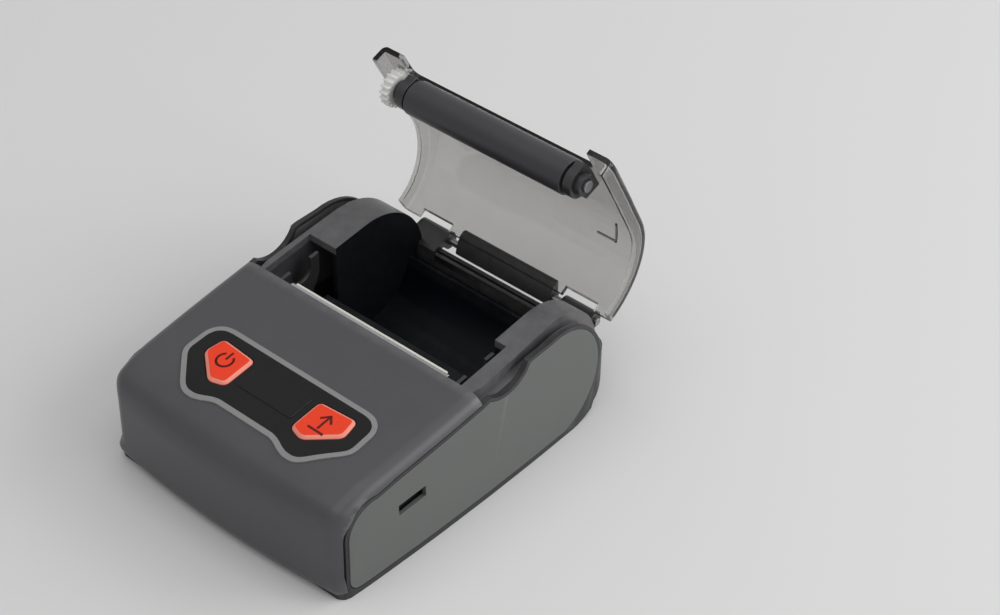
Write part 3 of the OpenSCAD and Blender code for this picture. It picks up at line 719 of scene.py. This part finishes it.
# box round one stroke of a mark, as eight points and six faces
def strokeBox(a, b, first):
    size = markSize
    along = (b - a).normalized() * size["width"] / 2
    side = Vector((-along.y, along.x))
    a, b = a - along * 0.5, b + along * 0.5
    verts = []
    for lift in (keySize["top"] - size["sink"], keySize["top"] + size["rise"]):
        verts += [(p.x, p.y, coverTop(p.y) + lift) for p in (a + side, a - side, b - side, b + side)]
    quads = ((0, 1, 2, 3), (7, 6, 5, 4), (0, 4, 5, 1), (1, 5, 6, 2), (2, 6, 7, 3), (3, 7, 4, 0))
    return verts, [[first + k for k in quad] for quad in quads]


# flat mark on a key; each stroke is a run of points about the mark's centre
def makeMark(side, name, strokes, body):
    centre = Vector((side * markSize["centre"][0], markSize["centre"][1]))
    verts, faces = [], []
    for stroke in strokes:
        points = [centre + Vector(p) for p in stroke]
        for a, b in zip(points, points[1:]):
            newVerts, newFaces = strokeBox(a, b, len(verts))
            verts += newVerts
            faces += newFaces
    mark = outward(newPiece(name, verts, faces, finishes["key_mark"]), 0)
    attach(mark, body, "key_plastic")


def powerStrokes():
    size = markSize
    ring = arcPoints((0, 0), size["ring"], size["ringFrom"], size["ringTo"], 18)
    return [ring, [(0, y) for y in size["stem"]]]


def feedStrokes():
    size = markSize
    tip = (0, size["shaft"])
    barbX, barbY = size["barb"]
    barX, barY = size["bar"]
    return [[(0, -size["shaft"]), tip], [(-barbX, barbY), tip, (barbX, barbY)], [(-barX, barY), (barX, barY)]]


makeLabel()
makeKey(-1, "powerKey", "power_key", "power_button")
makeKey(1, "feedKey", "feed_key", "feed_button")
makeMark(-1, "powerMark", powerStrokes(), "power_key")
makeMark(1, "feedMark", feedStrokes(), "feed_key")
print("stage: label and keys done")


# lid: a clear curved sheet with turned-down sides, made shut and then swung open
lidSize = {"radius": 20.5, "wall": 1.4, "skirtRows": (4.4, 3.3, 2.6), "endTurn": 6.8, "turnSteps": 36,
           "halfWidth": 37.0, "lift": 0.2, "bendY": 24.8, "edgeRound": 1.3, "innerRound": 0.35, "flatFrom": 2.0,
           "earInner": 29.2, "cutBack": 4.8, "cutCorner": 2.2, "edge": 0.3, "hinge": (50.2, 17.9), "turn": 68,
           "rollerGap": 4.85, "rollerHalf": 25.2, "gearGap": 5.77, "gearFrom": -32.8, "gearTo": -29.4, "hingeX": 24,
           "hingeHalf": 5.2, "hingeFrom": 10, "hingeTop": 20.7, "hingeFront": 40, "hingeBack": 55, "mouthFront": -20,
           "mouthCut": (15, 60)}
# how far the side stands in from the half width, at each y; the lid narrows at its tip and at its hinge
lidSides = [(-2.6, 1.2), (-1.9, 0.5), (-0.8, 0.1), (0.8, 0), (12, 0.2), (30, 0.9), (48.5, 2.4)]
lidFlatRows = (-2.6, -2.3, -2.0, -1.7, -1.2, -0.4, 0.8, 3, 6, 9, 12, 16, 20)
knuckleSize = {"half": 15.6, "radius": 2.3, "bore": 1.06, "boreHalf": 40, "edge": 0.3,
               "flat": ((47.4, 17.9), (46.7, 20.4), (47.4, 21.5))}
platen = Vector((6.0, 28.6))


def lidHeight(y):
    return slopeHeight(y) + lidSize["lift"]


lidBend = Vector((lidSize["bendY"], lidHeight(lidSize["bendY"])))
lidCentre = lidBend - lidSize["radius"] * uphill


def lidHalf(y):
    width = lidSize["halfWidth"]
    for (y0, in0), (y1, in1) in zip(lidSides, lidSides[1:]):
        if y <= y1:
            return width - in0 + (in0 - in1) * max(0, y - y0) / (y1 - y0)
    return width - lidSides[-1][1]


def lidRows():
    size = lidSize
    rows = [(Vector((y, lidHeight(y))), uphill) for y in lidFlatRows]
    for i in range(size["turnSteps"] + 1):
        normal = unit(uphillTurn + (size["endTurn"] - uphillTurn) * i / size["turnSteps"])
        rows.append((lidCentre + size["radius"] * normal, normal))
    return rows


def lidGrid(depth):
    size = lidSize
    bend, start = (size["innerRound"], depth) if depth else (size["edgeRound"], 0.0)
    edge = [(-depth, drop) for drop in size["skirtRows"]]
    for k in range(6):
        turn = math.radians(90 - 18 * k)
        edge.append((-start - bend + bend * math.sin(turn), start + bend - bend * math.cos(turn)))
    grid = []
    for point, normal in lidRows():
        line = []
        for back, drop in edge:
            place = point - drop * normal
            line.append((lidHalf(place.x) + back, place.x, place.y))
        centre = point - depth * normal
        for k in range(1, 5):
            line.append(((lidHalf(point.x) - size["flatFrom"]) * (1 - k / 5), centre.x, centre.y))
        left = [(-p[0], p[1], p[2]) for p in reversed(line)]
        grid.append(line + [(0, centre.x, centre.y)] + left)
    return grid


# turns a piece that was made shut to the open rest pose
def swingOpen(piece):
    y, z = (v * mm for v in lidSize["hinge"])
    shift = Matrix.Translation((0, y, z))
    turn = Matrix.Rotation(-math.radians(lidSize["turn"]), 4, "X")
    piece.data.transform(shift @ turn @ shift.inverted())


def makeLid():
    size = lidSize
    lid = slab("lidShell", lidGrid(0.0), lidGrid(size["wall"]), finishes["lid_clear"])
    ear, back = size["earInner"], size["cutBack"]
    mouth = roundedCorners(boxOutline((-ear, size["mouthFront"]), (ear, back)), size["cutCorner"], 6)
    cut(lid, rings("cutter", alongZ(mouth, *size["mouthCut"])))
    roller = circleOutline(platen, size["rollerGap"], 48)
    cut(lid, rings("cutter", alongX(roller, -size["rollerHalf"], size["rollerHalf"])))
    gear = circleOutline(platen, size["gearGap"], 48)
    cut(lid, rings("cutter", alongX(gear, size["gearFrom"], size["gearTo"])))
    for side in (-1, 1):
        left, right = side * size["hingeX"] - size["hingeHalf"], side * size["hingeX"] + size["hingeHalf"]
        notch = boxOutline((left, size["hingeFront"]), (right, size["hingeBack"]))
        cut(lid, rings("cutter", alongZ(notch, size["hingeFrom"], size["hingeTop"])))
    softEdges(lid, size["edge"], 3, 40)
    weighted(smooth(lid, 35))
    swingOpen(lid)
    attach(lid, "lid", "lid_clear", "lid_shell")


def makeKnuckle():
    size = knuckleSize
    hinge = Vector(lidSize["hinge"])
    outline = [Vector(p) for p in size["flat"]] + arcPoints(hinge, size["radius"], 92, -90, 14)
    knuckle = rings("lidKnuckle", alongX(outline, -size["half"], size["half"]), finishes["shell_plastic"])
    bore = circleOutline(hinge, size["bore"], 24)
    cut(knuckle, rings("cutter", alongX(bore, -size["boreHalf"], size["boreHalf"])))
    softEdges(knuckle, size["edge"], 3, 35)
    weighted(smooth(knuckle, 35))
    swingOpen(knuckle)
    attach(knuckle, "lid", "shell_plastic")


# L-shaped rib moulded under the lid, in two straight runs from corner to corner: x0, y0, x1, y1
ribSize = {"sink": 0.1, "depth": 0.45, "width": 0.6, "taper": 0.1, "edge": 0.2, "steps": 4,
           "runs": [(22.0, 36.5, 27.6, 36.5), (27.6, 36.5, 27.6, 31.0)]}


# point at a given depth under the lid's outer face, below the point of that face at y
def underLid(y, depth):
    if y < lidBend.x:
        point, normal = Vector((y, lidHeight(y))), uphill
    else:
        normal = unit(math.degrees(math.acos(min(1, (y - lidCentre.x) / lidSize["radius"]))))
        point = lidCentre + lidSize["radius"] * normal
    place = point - depth * normal
    return place.x, place.y


def makeRibs():
    size = ribSize
    wall, half = lidSize["wall"], size["width"] / 2
    for number, (x0, y0, x1, y1) in enumerate(size["runs"]):
        low, high = (min(x0, x1) - half, min(y0, y1) - half), (max(x0, x1) + half, max(y0, y1) + half)
        loops = []
        for depth, shrink in ((wall - size["sink"], 0.0), (wall + size["depth"], size["taper"])):
            corners = inset(boxOutline(low, high), shrink)
            ring = []
            for a, b in zip(corners, corners[1:] + corners[:1]):
                for k in range(size["steps"]):
                    p = a.lerp(b, k / size["steps"])
                    ring.append((p.x, *underLid(p.y, depth)))
            loops.append(ring)
        rib = rings(f"lidRib{number}", loops, finishes["lid_clear"])
        softEdges(rib, size["edge"], 2, 40)
        smooth(rib, 35)
        swingOpen(rib)
        attach(rib, "lid", "lid_clear")


makeLid()
makeKnuckle()
makeRibs()
print("stage: lid done")


# paper bay: cover-coloured outside, near black between these limits in x
bayPaint = {"low": -24.75, "high": 27.65, "frontLow": -26.2, "frontHigh": 29.2, "facing": -0.6, "edge": 0.3}


def makeBay():
    size = bayPaint
    bay = refined("paper_bay", finishes["cover_plastic"], size["edge"], 3)
    bay.data.materials.append(finishes["bay_plastic"])
    for face in bay.data.polygons:
        x = face.center.x / mm
        inWell = size["low"] < x < size["high"]
        onFront = face.normal.y < size["facing"] and size["frontLow"] < x < size["frontHigh"]
        if inWell or onFront:
            face.material_index = 1
    weighted(bay)


# channel floors beside the shoulders, where the lid's sides come down
channelSize = {"depth": 4.9, "thick": 1.1, "inner": 35.0, "outer": 37.25, "from": -2.5}


def makeChannels():
    size = channelSize
    rows = [(p, n) for p, n in lidRows() if p.x > size["from"]][:-1]
    upper = [p - size["depth"] * n for p, n in rows]
    lower = [p - (size["depth"] + size["thick"]) * n for p, n in reversed(rows)]
    for side in (-1, 1):
        reach = sorted((side * size["inner"], side * size["outer"]))
        floor = rings("channelFloor", alongX(upper + lower, *reach), finishes["cover_plastic"])
        smooth(floor, 35)
        attach(floor, "casing", "cover_plastic")


makeBay()
makeChannels()

# the other visible nodes, with the width of each one's softened edges
fineParts = {"base_shell": 0.18, "side_panel_left": 0.45, "side_panel_right": 0.45, "hinge_bracket": 0.3,
             "hinge_pin": 0.15, "platen_bracket_left": 0.25, "platen_bracket_right": 0.25, "platen_bushes": 0.15,
             "platen_shaft": 0.2, "platen_rubber": 0.25, "platen_gear": 0.07, "drive_gear": 0.07, "idler_gear": 0.07,
             "motor_pinion": 0.05, "lid_lip": 0.2, "thermal_head": 0.12, "head_bracket": 0.12, "tear_bar": 0.06,
             "frame_plate_left": 0.12, "frame_plate_right": 0.12, "frame_tie": 0.15, "motor": 0.3, "usb_socket": 0.1,
             "battery_door": 0.25, "case_screws": 0.15, "paper_sensor": 0.12, "frame_screws": 0.15}
fineEdge = 0.2  # wider edges than this get three segments instead of two
slotOf["platen_bushes"] = "bracket_black"  # blackened brass
baseCorner = {"radius": 3.4, "reach": 37.9, "front": -48.3, "height": 2.15, "beyond": (1.5, 1), "below": -1}


# rounds the lower front corners of the base, under the turned edge of the cover
def roundBase(base):
    size = baseCorner
    x, y, radius = size["reach"], size["front"], size["radius"]
    outX, outY = x + size["beyond"][0], y - size["beyond"][1]
    right = arcPoints((x - radius, y + radius), radius, 0, -90, 8)
    right += [Vector((x - radius, outY)), Vector((outX, outY)), Vector((outX, y + radius))]
    for side in (-1, 1):
        outline = [Vector((side * q.x, q.y)) for q in right]
        cut(base, rings("cutter", alongZ(outline, size["below"], size["height"])))
    smooth(base)


for node, width in fineParts.items():
    piece = refined(node, finishes[slotOf[node]], width, 3 if width > fineEdge else 2)
    if node == "base_shell":
        roundBase(piece)
    weighted(piece)
for node, part in nodes.items():
    part.data.materials.clear()
    part.data.materials.append(finishes[slotOf[node]])
print("stage: frame parts finished")

# studio: pale floor, soft lights, camera at a raised three-quarter angle
studio = {"world": 0.44, "floor": (0.73, 0.73, 0.73), "floorRoughness": 0.7, "floorReach": 2500,
          "aim": (0, 0.02, 0.02)}
# place in metres, width, height and energy of each light
softboxes = {"keySoftbox": ((1.1, 0.3, 0.75), 0.9, 0.8, 4.0), "topSoftbox": ((0.0, -0.2, 1.5), 1.6, 1.6, 6.0),
             "edgeSoftbox": ((0.72, 0.95, 0.6), 0.9, 0.9, 7.0)}


def makeFloor():
    far = studio["floorReach"]
    verts = [(-far, -far, 0), (far, -far, 0), (far, far, 0), (-far, far, 0)]
    material = bpy.data.materials.new("floorPaint")
    material.use_nodes = True
    shader = material.node_tree.nodes["Principled BSDF"]
    shader.inputs["Base Color"].default_value = (*studio["floor"], 1)
    shader.inputs["Roughness"].default_value = studio["floorRoughness"]
    floor = newPiece("floor", verts, [[0, 1, 2, 3]], material)


def softLight(name, place, width, height, energy):
    light = bpy.data.lights.new(name, "AREA")
    light.shape = "RECTANGLE"
    light.size, light.size_y = width, height
    light.energy = energy
    holder = bpy.data.objects.new(name, light)
    bpy.context.scene.collection.objects.link(holder)
    holder.location = place
    holder.rotation_euler = (Vector(studio["aim"]) - Vector(place)).to_track_quat("-Z", "Y").to_euler()


def makeStudio():
    world = bpy.data.worlds.new("studioWorld")
    world.use_nodes = True
    shade = world.node_tree.nodes["Background"]
    shade.inputs["Color"].default_value = (1, 1, 1, 1)
    shade.inputs["Strength"].default_value = studio["world"]
    bpy.context.scene.world = world
    for name, values in softboxes.items():
        softLight(name, *values)
    bpy.context.scene.view_settings.view_transform = "Standard"


# camera figures in pattern steps and degrees; lens and sensor in millimetres
view = {"aim": (10.548, 35.655, 20.746), "distance": 580.23, "azimuth": 40.54, "elevation": 39.06, "roll": 1.07,
        "lens": 84.78, "sensor": 36, "nearest": 0.01}


def makeCamera():
    a, e, r = (math.radians(view[key]) for key in ("azimuth", "elevation", "roll"))
    right = Vector((math.cos(a), math.sin(a), 0))
    up = Vector((-math.sin(a) * math.sin(e), math.cos(a) * math.sin(e), math.cos(e)))
    back = Vector((math.sin(a) * math.cos(e), -math.cos(a) * math.cos(e), math.sin(e)))
    tiltedRight = math.cos(r) * right + math.sin(r) * up
    tiltedUp = -math.sin(r) * right + math.cos(r) * up
    camera = bpy.data.cameras.new("camera")
    camera.lens = view["lens"]
    camera.sensor_width = view["sensor"]
    camera.clip_start = view["nearest"]
    holder = bpy.data.objects.new("camera", camera)
    bpy.context.scene.collection.objects.link(holder)
    turn = Matrix((tiltedRight, tiltedUp, back)).transposed()
    spot = (Vector(view["aim"]) + view["distance"] * back) * mm
    holder.matrix_world = Matrix.Translation(spot) @ turn.to_4x4()
    bpy.context.scene.camera = holder


makeFloor()
makeStudio()
makeCamera()
print("stage: studio ready")
